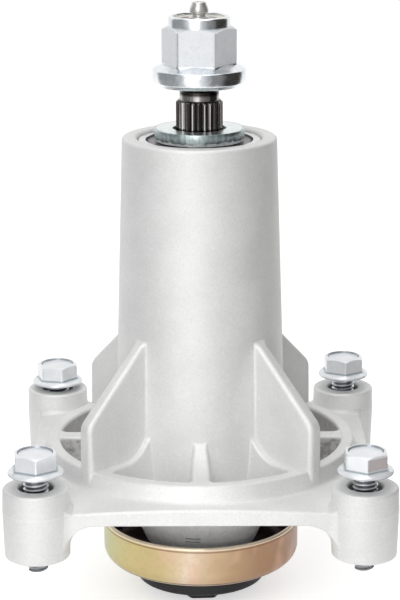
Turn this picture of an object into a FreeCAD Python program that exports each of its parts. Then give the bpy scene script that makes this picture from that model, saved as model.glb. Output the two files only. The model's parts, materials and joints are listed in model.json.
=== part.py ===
import FreeCAD, Part
import math
import os

# Mower deck spindle: a ribbed aluminium housing with two ball bearings, a splined shaft with a blade seat,
# a dust cup, a flange nut and four mounting bolts.
# Millimetres. Z is the spin axis, pointing up, and z = 0 is the plane of the boss bottoms, on the deck.

# Bolt pattern and bosses
bolt_spacing = 101.6
boss_r = 10.6
boss_h = 22.5
boss_parting_z = 15.0
boss_draft_deg = 1.7
boss_edge_round = 0.8
boss_under_flare = 9.0
boss_top_flare = 3.5
boss_flare_bite = 0.4
boss_flare_reach = 1.5
countersink_r = 5.9
boss_relief_r = 4.8
boss_relief_h = 3.7

# Flange between the bosses
boss_proud = 5.4
flange_flare = 5.0
flange_bottom_z = 11.4
flange_rim_t = 5.2
flange_fall_deg = 6.2
flange_rim_round = 0.8

# Ring and pockets round the tube
ring_inner_r = 46.5
ring_land_w = 4.0
ring_top_z = 22.3
ring_foot_w = 1.5
ring_foot_round = 2.0
ring_edge_round = 0.8
pocket_floor_z = 11.0
pocket_floor_t = 2.6
pocket_corner_r = 2.0
pocket_draft_deg = 3.0
drum_wall = 3.0
drum_corner_r = 1.2

# Tube
tube_top_z = 122.5
tube_top_r = 24.8
tube_draft_deg = 1.85
tube_edge_round = 1.0

# Nose under the flange
nose_len = 14.0
nose_end_r = 18.1
nose_half_angle_deg = 24.0
nose_end_wall = 1.8
nose_edge_round = 0.8

# Ribs and gussets
rib_count = 4
rib_top_z = 22.1
rib_t = 2.0
rib_draft_deg = 7.0
rib_sweep_r = 12.0
rib_sweep_reach = 1.15
rib_sink = 1.6
rib_edge_round = 0.8
rib_bury = 2.5
root_flare = 1.0
ring_flare = 2.6
flare_bite = 0.08
web_t = 7.0
gusset_t = 4.4
gusset_draft_deg = 0.9
gusset_outer_r = 51.6
gusset_shoulder_z = 37.0
gusset_shoulder_r = 5.0
gusset_tube_z = 60.0
gusset_edge_round = 1.7

# Bearings, a standard deep-groove size
bearing_bore_d = 17.0
bearing_outer_d = 40.0
bearing_w = 12.0
bearing_edge = 0.6
bearing_recess = 0.9
lower_bearing_z = 0.0
ball_d = 6.747
ball_count = 8
race_clear = 0.08
race_shoulder = 2.1
cage_t = 1.6
cage_w = 8.2
cage_ball_clear = 0.15
seal_t = 1.1
seal_recess = 0.5
seal_groove = 0.9
seal_lip_clear = 0.08
core_relief = 0.6
seat_run_out = 1.5

# Spacer between the inner rings
spacer_r = 11.6

# Washer, nut and shaft end
washer_r = 14.43
washer_t = 3.75
washer_edge = 0.4
journal_recess = 1.5
spline_r = 7.5
spline_root_r = 6.75
spline_teeth = 23
spline_turn_deg = -91.6
spline_len = 10.7
spline_end_chamfer = 1.0
spline_end_land = 0.3
undercut_r = 6.3
undercut_w = 2.7
thread_r = 7.0
thread_chamfer = 0.9
pulley_gap = 13.75
nut_flats = 21.0
nut_turn_deg = -94.4
nut_under_h = 1.2
nut_under_w = 1.4
nut_flange_r = 14.85
nut_flange_t = 3.9
nut_cone_h = 1.9
nut_hex_h = 11.6
nut_hex_chamfer_deg = 30.0
nut_collar_r = 9.8
nut_collar_h = 3.3
nut_collar_round = 1.0
nut_mouth = 0.9
nut_insert_r = 8.6
nut_insert_t = 3.2
nut_insert_drop = 0.8
nut_lip = 0.4
shaft_end_recess = 1.0
hex_top_share = 0.96

# Lower end of the shaft
hub_r = 12.0
seat_r = 21.4
seat_t = 6.9
seat_edge_round = 0.8
star_points = 5
star_tip_r = 12.9
star_tip_half_deg = 17.0
star_root_r = 10.2
star_h = 4.5
star_corner_r = 1.5
star_turn_deg = -87.0
blade_thread_r = 4.4
blade_thread_depth = 26.0
blade_thread_mouth = 0.8
drill_point_deg = 59.0

# Dust cup
cup_r = 32.5
cup_rim_z = -5.8
cup_t = 1.4
cup_corner_r = 4.5
cup_nose_gap = 4.7
cup_rim_round = 0.5

# Mounting bolts: lift of each head above its boss and the turn of its hex, front-left, front-right,
# rear-left, rear-right
bolt_thread_r = 3.95
bolt_tip_r = 3.2
bolt_len = 31.75
bolt_tip_len = 7.6
bolt_point_h = 1.5
bolt_point_r = 2.4
bolt_flange_r = 8.7
bolt_flange_t = 1.0
bolt_flange_rise = 0.7
bolt_flats = 12.7
bolt_head_h = 6.9
bolt_head_chamfer_deg = 30.0
bolt_places = [
    (-1, -1, 4.5, -54.0),
    (1, -1, 4.6, -60.0),
    (-1, 1, 2.0, -42.0),
    (1, 1, 4.3, -57.0),
]

# Grease way and fitting
grease_hole_r = 1.6
grease_cross_r = 1.2
grease_cross_z = 61.0
grease_sump = 2.5
fitting_socket_depth = 9.0
fitting_shank_r = 2.7
fitting_shank_len = 6.0
fitting_base_r = 3.3
fitting_base_h = 0.6
fitting_neck_r = 1.75
fitting_neck_h = 0.9
fitting_head_r = 2.81
fitting_cone_h = 1.1
fitting_barrel_h = 1.2
fitting_crown_h = 1.5
fitting_top_r = 1.9
fitting_mouth_r = 0.75
fitting_way_r = 1.15
check_ball_r = 1.0
check_ball_travel = 0.7
check_ball_clear = 0.03
spring_wire_r = 0.14
spring_coil_r = 0.72
spring_turns = 4
spring_spare = 0.8
fitting_outlet_r = 0.5

# Clearances
seat_clear = 0.02
thread_clear = 0.03
press_clear = 0.01
spacer_clear = 0.1

# Heights and radii that follow from the sizes above
bearing_bore_r = bearing_bore_d / 2
bearing_outer_r = bearing_outer_d / 2
pitch_r = (bearing_bore_r + bearing_outer_r) / 2
inner_shoulder_r = pitch_r - race_shoulder
outer_shoulder_r = pitch_r + race_shoulder
seal_outer_r = outer_shoulder_r + seal_groove
upper_bearing_top = tube_top_z - bearing_recess
upper_bearing_z = upper_bearing_top - bearing_w
washer_top = upper_bearing_top + washer_t
journal_r = bearing_bore_r - seat_clear
spline_z = washer_top - journal_recess
spline_top = spline_z + spline_len
thread_z = spline_top + undercut_w
nut_z = washer_top + pulley_gap
nut_rim_z = nut_z + nut_under_h
nut_rim_top = nut_rim_z + nut_flange_t
nut_hex_z = nut_rim_top + nut_cone_h
nut_hex_top = nut_hex_z + nut_hex_h
nut_top = nut_hex_top + nut_collar_h
nut_insert_top = nut_top - nut_insert_drop
nut_insert_z = nut_insert_top - nut_insert_t
nut_bore_r = thread_r + thread_clear
shaft_top = nut_top - shaft_end_recess
nose_end_z = -nose_len
cup_floor_z = nose_end_z - cup_nose_gap
seat_top_z = cup_floor_z - cup_t
seat_bottom_z = seat_top_z - seat_t
star_bottom_z = seat_bottom_z - star_h
boss_offset = bolt_spacing / 2
flange_half = boss_offset + boss_r - boss_proud
boss_hole_r = bolt_thread_r + thread_clear
diagonal_deg = 45.0
spring_len = 2 * spring_wire_r * spring_turns + check_ball_travel + spring_spare

ORIGIN = FreeCAD.Vector(0, 0, 0)
UP = FreeCAD.Vector(0, 0, 1)


def slope(degrees):
    return math.tan(math.radians(degrees))


def tube_r(z):
    """Outer radius of the drafted tube at a height."""
    return tube_top_r + (tube_top_z - z) * slope(tube_draft_deg)


def pocket_r(z):
    """Radius of the pockets' drafted outer wall at a height."""
    return ring_inner_r - (ring_top_z - z) * slope(pocket_draft_deg)


def nose_r(z):
    """Outer radius of the conical nose at a height."""
    return nose_end_r + (z - nose_end_z) * slope(nose_half_angle_deg)


def flange_top(r):
    """Height of the flange's top face, which falls away from the axis."""
    return flange_bottom_z + flange_rim_t - (r - flange_half) * slope(flange_fall_deg)


def rounded_wire(corners, place):
    """Closed wire through (a, b) corners, rounded where a corner has a third number; place makes the points."""
    points = [FreeCAD.Vector(corner[0], corner[1], 0) for corner in corners]
    stretches = []
    for i, corner in enumerate(corners):
        here, before, after = points[i], points[i - 1], points[(i + 1) % len(points)]
        if len(corner) < 3:
            stretches.append([here])
            continue
        back = (before - here).normalize()
        ahead = (after - here).normalize()
        half_turn = back.getAngle(ahead) / 2
        centre = here + (back + ahead).normalize() * (corner[2] / math.sin(half_turn))
        middle = centre + (here - centre).normalize() * corner[2]
        run = corner[2] / math.tan(half_turn)
        stretches.append([here + back * run, middle, here + ahead * run])
    edges = []
    for i, stretch in enumerate(stretches):
        placed = [place(point) for point in stretch]
        if len(placed) == 3:
            edges.append(Part.Arc(*placed).toShape())
        start, end = placed[-1], place(stretches[(i + 1) % len(stretches)][0])
        if start.distanceToPoint(end) > 1e-6:
            edges.append(Part.LineSegment(start, end).toShape())
    return Part.Wire(edges)


def upright(point):
    return FreeCAD.Vector(point.x, 0, point.y)


def flat(point):
    return point


def turned(corners):
    """Solid of revolution about Z from (radius, height) corners."""
    return Part.Face(rounded_wire(corners, upright)).revolve(ORIGIN, UP, 360)


def upright_plate(corners, thickness):
    """Plate of a radial (radius, height) outline, as thick as given, centred on the XZ plane."""
    face = Part.Face(rounded_wire(corners, upright))
    face.translate(FreeCAD.Vector(0, -thickness / 2, 0))
    return face.extrude(FreeCAD.Vector(0, thickness, 0))


def prism(corners, z, height):
    """Prism of a flat (x, y) outline."""
    face = Part.Face(rounded_wire(corners, flat))
    face.translate(FreeCAD.Vector(0, 0, z))
    return face.extrude(FreeCAD.Vector(0, 0, height))


def cylinder(r, z, height):
    return Part.makeCylinder(r, height, FreeCAD.Vector(0, 0, z))


def moved(shape, x, y, z):
    copy = shape.copy()
    copy.translate(FreeCAD.Vector(x, y, z))
    return copy


def spun(shape, degrees):
    copy = shape.copy()
    copy.rotate(ORIGIN, UP, degrees)
    return copy


def boss_places():
    return [(x * boss_offset, y * boss_offset) for x, y, _, _ in bolt_places]


def hex_prism(flats, z, height, turn_deg):
    """Hexagonal prism with one face square to the turn's direction."""
    corner_r = flats / math.sqrt(3)
    corners = []
    for i in range(6):
        angle = math.radians(turn_deg + 30 + 60 * i)
        corners.append((corner_r * math.cos(angle), corner_r * math.sin(angle)))
    return prism(corners, z, height)


def hex_head(flats, z, height, turn_deg, chamfer_deg):
    """Hexagonal prism whose top corners are turned off in a cone."""
    corner_r = flats / math.sqrt(3)
    top_r = flats / 2 * hex_top_share
    drop = (corner_r - top_r) * slope(chamfer_deg)
    top = z + height
    cone = turned([(0, z), (corner_r, z), (corner_r, top - drop), (top_r, top), (0, top)])
    return hex_prism(flats, z, height, turn_deg).common(cone)


def housing_core():
    """Tube, ring, pocket floor and nose as one turned shape, still solid on the axis."""
    land_r = ring_inner_r + ring_land_w
    foot_r = land_r + ring_foot_w
    skirt_r = foot_r + ring_foot_round
    pocket_wall_r = pocket_r(pocket_floor_z)
    floor_under_z = pocket_floor_z - pocket_floor_t
    drum_r = pocket_wall_r + drum_wall
    return turned([
        (0, tube_top_z),
        (tube_top_r, tube_top_z, tube_edge_round),
        (tube_r(pocket_floor_z), pocket_floor_z, pocket_corner_r),
        (pocket_wall_r, pocket_floor_z, pocket_corner_r),
        (ring_inner_r, ring_top_z, ring_edge_round),
        (land_r, ring_top_z, ring_edge_round),
        (foot_r, flange_top(foot_r), ring_foot_round),
        (skirt_r, flange_top(skirt_r)),
        (skirt_r, flange_bottom_z),
        (drum_r, flange_bottom_z, drum_corner_r),
        (drum_r, floor_under_z, drum_corner_r),
        (nose_r(floor_under_z), floor_under_z, pocket_corner_r),
        (nose_end_r, nose_end_z, nose_edge_round),
        (0, nose_end_z),
    ])


def flange_outline():
    """Plan of the flange: four straight sides that flare out into the bosses at their ends."""
    corner, touch = flare_corner(boss_r - boss_flare_bite, flange_half - boss_offset, flange_flare, 1)
    round_boss = [
        (corner[1], -corner[0], flange_flare),
        (touch[1], -touch[0]),
        (-touch[0], touch[1]),
        (-corner[0], corner[1], flange_flare),
    ]
    outline = []
    for cos, sin in ((1, 0), (0, 1), (-1, 0), (0, -1)):
        for x, y, *flare in round_boss:
            out_x, out_y = boss_offset + x, boss_offset + y
            outline.append((out_x * cos - out_y * sin, out_x * sin + out_y * cos, *flare))
    return outline


def flange():
    """Plate with a gently conical top, from under the ring to the rim."""
    inner_r = ring_inner_r + ring_edge_round
    reach = 2 * flange_half
    slab = turned([
        (inner_r, flange_bottom_z),
        (reach, flange_bottom_z),
        (reach, flange_top(reach)),
        (inner_r, flange_top(inner_r)),
    ])
    plate = slab.common(prism(flange_outline(), flange_bottom_z, ring_top_z))
    rim_edges = []
    for edge in plate.Edges:
        middle = edge.valueAt((edge.FirstParameter + edge.LastParameter) / 2)
        on_rim = max(abs(middle.x), abs(middle.y)) > boss_offset
        level = edge.BoundBox.ZLength < flange_rim_t / 2
        if on_rim and level and middle.z > flange_bottom_z + flange_rim_t / 2:
            rim_edges.append(edge)
    return plate.makeFillet(flange_rim_round, rim_edges)


def boss():
    """One boss at its own centre, drafted both ways from its parting line, before its bolt hole."""
    top_r = boss_r - (boss_h - boss_parting_z) * slope(boss_draft_deg)
    bottom_r = boss_r - boss_parting_z * slope(boss_draft_deg)
    return turned([
        (0, 0),
        (bottom_r, 0, boss_edge_round),
        (boss_r, boss_parting_z),
        (top_r, boss_h, boss_edge_round),
        (0, boss_h),
    ])


def boss_flares():
    """Swept fillets from a boss to both faces of the flange, still reaching past the rim."""
    wall_r = boss_r - boss_flare_bite
    under_r = boss_r + boss_under_flare * boss_flare_reach
    over_r = boss_r + boss_top_flare * boss_flare_reach
    foot_z = flange_bottom_z - boss_under_flare * boss_flare_reach
    middle_z = flange_bottom_z + flange_rim_t / 2
    top_z = flange_top(boss_offset * math.sqrt(2))
    under = turned([
        (0, foot_z),
        (wall_r, foot_z),
        (wall_r, flange_bottom_z, boss_under_flare),
        (under_r, flange_bottom_z),
        (under_r, middle_z),
        (0, middle_z),
    ])
    over = turned([
        (0, middle_z),
        (over_r, middle_z),
        (over_r, top_z),
        (wall_r, top_z, boss_top_flare),
        (wall_r, boss_h - boss_edge_round),
        (0, boss_h - boss_edge_round),
    ])
    above_edge = cylinder(under_r, 2 * boss_edge_round, boss_h)
    return under.common(above_edge).fuse(over)


def flare_corner(wall_r, half_t, flare, side):
    """Where a side meets a round wall in plan: the corner that the flare rounds and its touch on the wall.
    side is 1 outside the wall's circle and -1 inside it."""
    reach = wall_r + side * flare
    centre_y = half_t + flare
    centre_x = math.sqrt(reach ** 2 - centre_y ** 2)
    touch = (centre_x * wall_r / reach, centre_y * wall_r / reach)
    corner_x = (wall_r ** 2 - half_t * touch[1]) / touch[0]
    return (corner_x, half_t, flare), touch


def rib_plan(z, half_t, outer_end):
    """Plan outline of a rib at a height, flared into the tube, with the given outer end."""
    corner, touch = flare_corner(tube_r(z) - flare_bite, half_t, root_flare, 1)
    upper = [(touch[0] - rib_bury, touch[1]), touch, corner] + outer_end
    lower = [(x, -y, *flare) for x, y, *flare in reversed(upper)]
    wire = rounded_wire(upper + lower, flat)
    wire.translate(FreeCAD.Vector(0, 0, z))
    return wire


def pocket_end(z, half_t):
    """Outer end of a rib that is flared into the ring's inner wall."""
    corner, touch = flare_corner(pocket_r(z) + flare_bite, half_t, ring_flare, -1)
    return [corner, touch, (touch[0] + rib_bury, touch[1])]


def square_end(half_t):
    return [(gusset_outer_r, half_t)]


def soften(plate, radius, inner_r, outer_r, lowest_z):
    """Rounds the long edges of a rib's free, upper outline."""
    long_edges = []
    for edge in plate.Edges:
        middle = edge.valueAt((edge.FirstParameter + edge.LastParameter) / 2)
        free = inner_r < middle.x < outer_r and middle.z > lowest_z
        if free and abs(middle.y) > radius / 2:
            long_edges.append(edge)
    return plate.makeFillet(radius, long_edges)


def low_rib(thickness):
    """Rib in a pocket that sweeps up the tube's wall and runs level out to the ring."""
    inside_r = tube_top_r - tube_edge_round
    base_z = pocket_floor_z - pocket_floor_t / 2
    sweep_top = rib_top_z + rib_sweep_r * rib_sweep_reach
    half_top = thickness / 2
    half_base = half_top + (sweep_top - base_z) * slope(rib_draft_deg)
    ring_r = ring_inner_r + ring_land_w / 2
    outline = [
        (inside_r - rib_sink, base_z),
        (ring_r, base_z),
        (ring_r, rib_top_z),
        (tube_r(rib_top_z), rib_top_z, rib_sweep_r),
        (tube_r(sweep_top) - rib_sink, sweep_top),
        (inside_r - rib_sink, sweep_top),
    ]
    base_plan = rib_plan(base_z, half_base, pocket_end(base_z, half_base))
    top_plan = rib_plan(sweep_top, half_top, pocket_end(sweep_top, half_top))
    blank = Part.makeLoft([base_plan, top_plan], True, True)
    rib = blank.common(upright_plate(outline, 4 * half_base + 4 * ring_flare))
    level_r = tube_r(rib_top_z) + rib_sweep_r
    return soften(rib, rib_edge_round, level_r, ring_inner_r - ring_flare, rib_top_z - rib_edge_round)


def gusset():
    """Tall gusset from the ring's land up to the tube, with a rounded shoulder."""
    inside_r = tube_top_r - tube_edge_round
    foot_z = flange_bottom_z + flange_rim_t / 2
    half_top = gusset_t / 2
    tube_end_r = tube_r(gusset_tube_z)
    rise = (gusset_tube_z - gusset_shoulder_z) / (gusset_outer_r - tube_end_r)
    top_z = gusset_tube_z + (tube_end_r - inside_r) * rise
    half_base = half_top + (top_z - foot_z) * slope(gusset_draft_deg)
    outline = [
        (inside_r, foot_z),
        (gusset_outer_r, foot_z),
        (gusset_outer_r, gusset_shoulder_z, gusset_shoulder_r),
        (inside_r, top_z),
    ]
    base_plan = rib_plan(foot_z, half_base, square_end(half_base))
    top_plan = rib_plan(top_z, half_top, square_end(half_top))
    blank = Part.makeLoft([base_plan, top_plan], True, True)
    plate = blank.common(upright_plate(outline, 4 * gusset_t + 4 * root_flare))
    return soften(plate, gusset_edge_round, tube_r(0), 2 * gusset_outer_r, foot_z + gusset_edge_round)


def bearing_bore():
    """What is bored out of the housing: the lip, both bearing seats and the relieved core between them."""
    seat_bore_r = bearing_outer_r + press_clear
    core_r = seat_bore_r + core_relief
    lip_r = nose_end_r - nose_end_wall
    return turned([
        (0, nose_end_z),
        (lip_r, nose_end_z),
        (lip_r, lower_bearing_z),
        (seat_bore_r, lower_bearing_z),
        (seat_bore_r, lower_bearing_z + bearing_w + seat_run_out),
        (core_r, lower_bearing_z + bearing_w + seat_run_out + core_relief),
        (core_r, upper_bearing_z - seat_run_out - core_relief),
        (seat_bore_r, upper_bearing_z - seat_run_out),
        (seat_bore_r, tube_top_z - bearing_edge),
        (seat_bore_r + bearing_edge, tube_top_z),
        (0, tube_top_z),
    ])


def bolt_hole():
    """Hole through a boss, countersunk at the top and relieved at the bottom, round the bolt's tip."""
    return turned([
        (0, 0),
        (boss_relief_r, 0),
        (boss_relief_r, boss_relief_h),
        (boss_hole_r, boss_relief_h + boss_relief_r - boss_hole_r),
        (boss_hole_r, boss_h - countersink_r + boss_hole_r),
        (countersink_r, boss_h),
        (0, boss_h),
    ])


def housing():
    pieces = [flange()]
    rim = prism(flange_outline(), 0, boss_h)
    for x, y in boss_places():
        pieces.append(moved(boss(), x, y, 0))
        pieces.append(moved(boss_flares(), x, y, 0).common(rim))
    for i in range(rib_count):
        turn_deg = 360 / rib_count * i
        pieces.append(spun(low_rib(rib_t), turn_deg))
        pieces.append(spun(low_rib(web_t), turn_deg + diagonal_deg))
        pieces.append(spun(gusset(), turn_deg + diagonal_deg))
    casting = housing_core().multiFuse(pieces)
    holes = [moved(bolt_hole(), x, y, 0) for x, y in boss_places()]
    return casting.cut(Part.makeCompound(holes + [bearing_bore()])).removeSplitter()


def outer_ring(z, seal_up):
    """Outer bearing ring with its raceway and a groove for the seal on one side."""
    middle = z + bearing_w / 2
    ring = turned([
        (outer_shoulder_r, z),
        (bearing_outer_r - bearing_edge, z),
        (bearing_outer_r, z + bearing_edge),
        (bearing_outer_r, z + bearing_w - bearing_edge),
        (bearing_outer_r - bearing_edge, z + bearing_w),
        (outer_shoulder_r, z + bearing_w),
    ])
    groove_h = seal_recess + seal_t
    groove_z = z + bearing_w - groove_h if seal_up else z
    return ring.cut(raceway(middle)).cut(cylinder(seal_outer_r + press_clear, groove_z, groove_h))


def inner_ring(z):
    """Inner bearing ring with its raceway."""
    ring = turned([
        (bearing_bore_r + bearing_edge, z),
        (inner_shoulder_r, z),
        (inner_shoulder_r, z + bearing_w),
        (bearing_bore_r + bearing_edge, z + bearing_w),
        (bearing_bore_r, z + bearing_w - bearing_edge),
        (bearing_bore_r, z + bearing_edge),
    ])
    return ring.cut(raceway(z + bearing_w / 2))


def raceway(z):
    return Part.makeTorus(pitch_r, ball_d / 2 + race_clear, FreeCAD.Vector(0, 0, z))


def ball_centres(z):
    centres = []
    for i in range(ball_count):
        angle = 2 * math.pi * i / ball_count
        x, y = pitch_r * math.cos(angle), pitch_r * math.sin(angle)
        centres.append(FreeCAD.Vector(x, y, z + bearing_w / 2))
    return centres


def balls(z):
    return Part.makeCompound([Part.makeSphere(ball_d / 2, centre) for centre in ball_centres(z)])


def cage(z):
    """Ring that keeps the balls apart, with a round pocket drilled for each."""
    middle = z + bearing_w / 2
    ring = turned([
        (pitch_r - cage_t / 2, middle - cage_w / 2),
        (pitch_r + cage_t / 2, middle - cage_w / 2),
        (pitch_r + cage_t / 2, middle + cage_w / 2),
        (pitch_r - cage_t / 2, middle + cage_w / 2),
    ])
    pockets = []
    for centre in ball_centres(z):
        outward = FreeCAD.Vector(centre.x, centre.y, 0).normalize()
        start = centre - outward * cage_t
        pockets.append(Part.makeCylinder(ball_d / 2 + cage_ball_clear, 2 * cage_t, start, outward))
    return ring.cut(Part.makeCompound(pockets))


def seal(z, seal_up):
    """Flat seal in the outer ring's groove, with a stiff outer bead and a thin lip near the inner ring."""
    base = z + bearing_w - seal_recess - seal_t if seal_up else z + seal_recess
    inner_r = inner_shoulder_r + seal_lip_clear
    return turned([
        (inner_r, base),
        (seal_outer_r, base),
        (seal_outer_r, base + seal_t),
        (inner_r, base + seal_t),
    ])


def bearing_spacer():
    bore_r = bearing_bore_r + spacer_clear
    bottom = lower_bearing_z + bearing_w
    length = upper_bearing_z - bottom
    tube = cylinder(spacer_r, bottom, length).cut(cylinder(bore_r, bottom, length))
    return tube.cut(cross_hole(grease_cross_r, spacer_r))


def cross_hole(r, reach):
    start = FreeCAD.Vector(-2 * reach, 0, grease_cross_z)
    return Part.makeCylinder(r, 4 * reach, start, FreeCAD.Vector(1, 0, 0))


def top_washer():
    bore_r = bearing_bore_r + seat_clear
    return turned([
        (bore_r, upper_bearing_top),
        (washer_r - washer_edge, upper_bearing_top),
        (washer_r, upper_bearing_top + washer_edge),
        (washer_r, washer_top - washer_edge),
        (washer_r - washer_edge, washer_top),
        (bore_r, washer_top),
    ])


def spline():
    """Toothed length of the shaft: rounded teeth with hollow roots, chamfered at the top end."""
    step = 2 * math.pi / spline_teeth
    edges = []
    for i in range(spline_teeth):
        angle = math.radians(spline_turn_deg) + step * i
        knots = []
        tooth = ((-0.5, spline_root_r), (-0.25, None), (0, spline_r), (0.25, None), (0.5, spline_root_r))
        for share, r in tooth:
            radius = (spline_r + spline_root_r) / 2 if r is None else r
            turn = angle + share * step
            knots.append(FreeCAD.Vector(radius * math.cos(turn), radius * math.sin(turn), spline_z))
        flank_up, flank_down = knots[1], knots[3]
        edges.append(Part.LineSegment(knots[0], flank_up).toShape())
        edges.append(Part.Arc(flank_up, knots[2], flank_down).toShape())
        edges.append(Part.LineSegment(flank_down, knots[4]).toShape())
    toothed = Part.Face(Part.Wire(edges)).extrude(FreeCAD.Vector(0, 0, spline_len))
    blank = turned([
        (0, spline_z),
        (spline_r, spline_z),
        (spline_r, spline_top - spline_end_chamfer),
        (undercut_r + spline_end_land, spline_top),
        (0, spline_top),
    ])
    return toothed.common(blank)


def star():
    """Star boss that keys the blade, with blunt points and rounded corners."""
    step_deg = 360 / star_points
    corners = []
    for i in range(star_points):
        turn_deg = star_turn_deg + step_deg * i
        point = [(-star_tip_half_deg, star_tip_r), (star_tip_half_deg, star_tip_r)]
        for aside_deg, r in point + [(step_deg / 2, star_root_r)]:
            angle = math.radians(turn_deg + aside_deg)
            corners.append((r * math.cos(angle), r * math.sin(angle), star_corner_r))
    return prism(corners, star_bottom_z, star_h)


def spindle_shaft():
    """One forging: star boss, blade seat, hub, journals, spline and threaded end, drilled for grease."""
    body = turned([
        (0, seat_bottom_z),
        (seat_r, seat_bottom_z, seat_edge_round),
        (seat_r, seat_top_z, seat_edge_round),
        (hub_r, seat_top_z),
        (hub_r, lower_bearing_z),
        (journal_r, lower_bearing_z),
        (journal_r, spline_z),
        (undercut_r, spline_z),
        (undercut_r, thread_z),
        (thread_r, thread_z + thread_r - undercut_r),
        (thread_r, shaft_top - thread_chamfer),
        (thread_r - thread_chamfer, shaft_top),
        (0, shaft_top),
    ])
    blade_hole = turned([
        (0, star_bottom_z),
        (blade_thread_r + blade_thread_mouth, star_bottom_z),
        (blade_thread_r, star_bottom_z + blade_thread_mouth),
        (blade_thread_r, star_bottom_z + blade_thread_depth),
        (0, star_bottom_z + blade_thread_depth + blade_thread_r / slope(drill_point_deg)),
    ])
    socket = cylinder(fitting_shank_r + press_clear, shaft_top - fitting_socket_depth, fitting_socket_depth)
    way_z = grease_cross_z - grease_cross_r - grease_sump
    way = cylinder(grease_hole_r, way_z, shaft_top - way_z)
    drilled = [blade_hole, socket, way, cross_hole(grease_cross_r, journal_r)]
    return body.multiFuse([spline(), star()]).cut(Part.makeCompound(drilled))


def dust_cup():
    """Pressed cup that opens upwards round the nose."""
    bore_r = hub_r + press_clear
    inner_corner = cup_corner_r - cup_t
    return turned([
        (bore_r, seat_top_z),
        (cup_r, seat_top_z, cup_corner_r),
        (cup_r, cup_rim_z, cup_rim_round),
        (cup_r - cup_t, cup_rim_z, cup_rim_round),
        (cup_r - cup_t, cup_floor_z, inner_corner),
        (bore_r, cup_floor_z),
    ])


def pulley_nut():
    """Flange nut: chamfered underside, cone under the hex and a collar rolled in over its locking insert."""
    hex_corner_r = nut_flats / math.sqrt(3)
    base = turned([
        (0, nut_z),
        (nut_flange_r - nut_under_w, nut_z),
        (nut_flange_r, nut_rim_z),
        (nut_flange_r, nut_rim_top),
        (hex_corner_r, nut_hex_z),
        (0, nut_hex_z),
    ])
    collar = turned([
        (0, nut_hex_z),
        (nut_collar_r, nut_hex_z),
        (nut_collar_r, nut_top, nut_collar_round),
        (0, nut_top),
    ])
    seat_r = nut_insert_r + press_clear
    bore = turned([
        (0, nut_z),
        (nut_bore_r + nut_mouth, nut_z),
        (nut_bore_r, nut_z + nut_mouth),
        (nut_bore_r, nut_insert_z),
        (seat_r, nut_insert_z),
        (seat_r, nut_insert_top),
        (seat_r - nut_lip, nut_insert_top + nut_lip),
        (seat_r - nut_lip, nut_top),
        (0, nut_top),
    ])
    hex_part = hex_head(nut_flats, nut_hex_z, nut_hex_h, nut_turn_deg, nut_hex_chamfer_deg)
    return base.multiFuse([hex_part, collar]).cut(bore)


def nut_insert():
    """Nylon ring in the nut's collar that grips the thread."""
    return turned([
        (nut_bore_r, nut_insert_z),
        (nut_insert_r, nut_insert_z),
        (nut_insert_r, nut_insert_top),
        (nut_bore_r + nut_mouth, nut_insert_top),
        (nut_bore_r, nut_insert_top - nut_mouth),
    ])


def mounting_bolt(turn_deg):
    """Self-tapping bolt with a hex washer head; its own z = 0 is the underside of the head."""
    tip_z = -bolt_len
    shank = turned([
        (0, tip_z),
        (bolt_point_r, tip_z),
        (bolt_tip_r, tip_z + bolt_point_h),
        (bolt_tip_r, tip_z + bolt_tip_len),
        (bolt_thread_r, tip_z + bolt_tip_len + bolt_thread_r - bolt_tip_r),
        (bolt_thread_r, 0),
        (bolt_flange_r, 0),
        (bolt_flange_r, bolt_flange_t),
        (bolt_flats / 2, bolt_flange_t + bolt_flange_rise),
        (0, bolt_flange_t + bolt_flange_rise),
    ])
    head_h = bolt_head_h - bolt_flange_t
    head = hex_head(bolt_flats, bolt_flange_t, head_h, turn_deg, bolt_head_chamfer_deg)
    return shank.fuse(head)


def mounting_bolts():
    solids = []
    for x, y, lift, turn_deg in bolt_places:
        solids.append(moved(mounting_bolt(turn_deg), x * boss_offset, y * boss_offset, boss_h + lift))
    return Part.makeCompound(solids)


def check_ball_z():
    """Height of the check ball's centre, closed under the fitting's mouth."""
    seat_drop = math.sqrt((check_ball_r + check_ball_clear) ** 2 - fitting_mouth_r ** 2)
    return fitting_top() - fitting_lip() - seat_drop


def fitting_top():
    return shaft_top + fitting_base_h + fitting_neck_h + fitting_cone_h + fitting_barrel_h + fitting_crown_h


def fitting_lip():
    """Thickness of the lip over the check ball."""
    return check_ball_r / 2


def spring_z():
    return check_ball_z() - check_ball_r - spring_wire_r - spring_len


def grease_fitting():
    """Nipple with a barrel head, and the bore for its check ball and spring."""
    neck_z = shaft_top + fitting_base_h
    head_z = neck_z + fitting_neck_h
    body = turned([
        (0, shaft_top - fitting_shank_len),
        (fitting_shank_r, shaft_top - fitting_shank_len),
        (fitting_shank_r, shaft_top),
        (fitting_base_r, shaft_top),
        (fitting_base_r, neck_z),
        (fitting_neck_r, neck_z),
        (fitting_neck_r, head_z),
        (fitting_head_r, head_z + fitting_cone_h),
        (fitting_head_r, head_z + fitting_cone_h + fitting_barrel_h),
        (fitting_top_r, fitting_top()),
        (0, fitting_top()),
    ])
    way_bottom = spring_z() - spring_wire_r - press_clear
    ball_seat = Part.makeSphere(check_ball_r + check_ball_clear, FreeCAD.Vector(0, 0, check_ball_z()))
    way = cylinder(fitting_way_r, way_bottom, check_ball_z() - way_bottom)
    mouth = cylinder(fitting_mouth_r, check_ball_z(), fitting_top() - check_ball_z())
    shank_end = shaft_top - fitting_shank_len
    outlet = cylinder(fitting_outlet_r, shank_end, way_bottom - shank_end)
    return body.cut(Part.makeCompound([ball_seat.fuse(way), mouth, outlet]))


def grease_check_ball():
    return Part.makeSphere(check_ball_r, FreeCAD.Vector(0, 0, check_ball_z()))


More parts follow.
